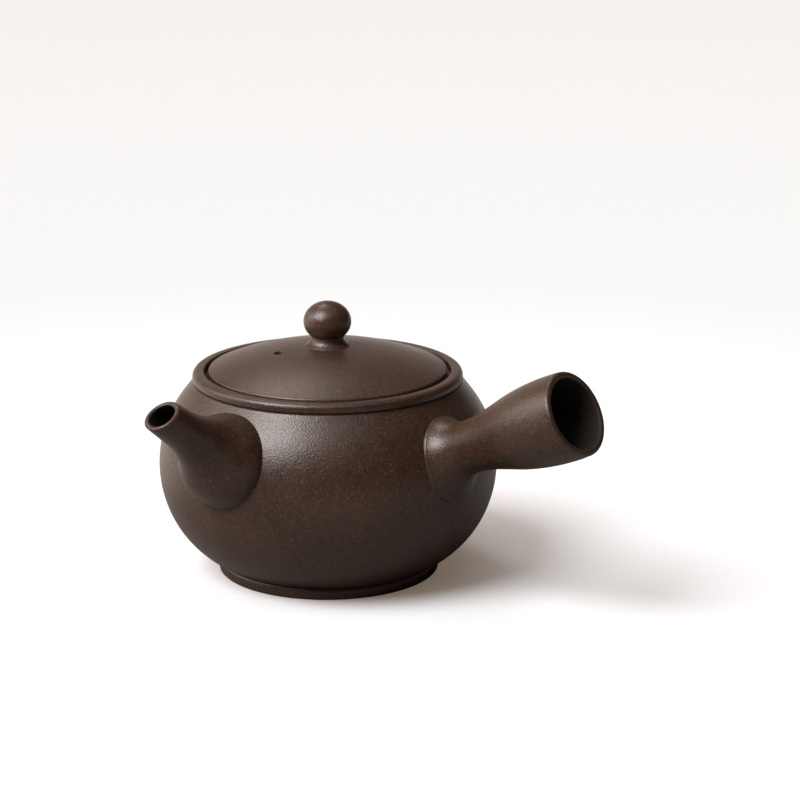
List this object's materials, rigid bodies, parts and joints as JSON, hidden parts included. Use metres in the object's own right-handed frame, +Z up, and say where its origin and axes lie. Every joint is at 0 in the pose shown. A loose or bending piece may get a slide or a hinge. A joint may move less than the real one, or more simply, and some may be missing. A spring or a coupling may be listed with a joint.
{
  "type": "teapot",
  "caption": "Round unglazed stoneware teapot with a hollow side handle, a short spout with a clay strainer, and a domed lid with a ball knob.",
  "frame": {"origin": "centre of the foot, on the surface that the pot stands on", "axes": "+Z up along the pot's turning axis, +X along the side handle, the spout on the -Y side"},
  "size_m": [0.1596, 0.1371, 0.0878],
  "materials": {
    "stoneware": "satin, unglazed dark brown"
  },
  "bodies": {
    "pot": {"pot_body": "stoneware", "foot_ring": "stoneware", "mouth_collar": "stoneware", "handle": "stoneware", "spout": "stoneware", "strainer": "stoneware"},
    "lid": {"lid_dome": "stoneware", "lid_flange": "stoneware", "knob_neck": "stoneware", "lid_knob": "stoneware"}
  },
  "joints": [
    {"name": "lid_lift", "type": "slide", "parent": "pot", "child": "lid", "axis": [0, 0, 1], "range_m": [0, 0.06]}
  ]
}
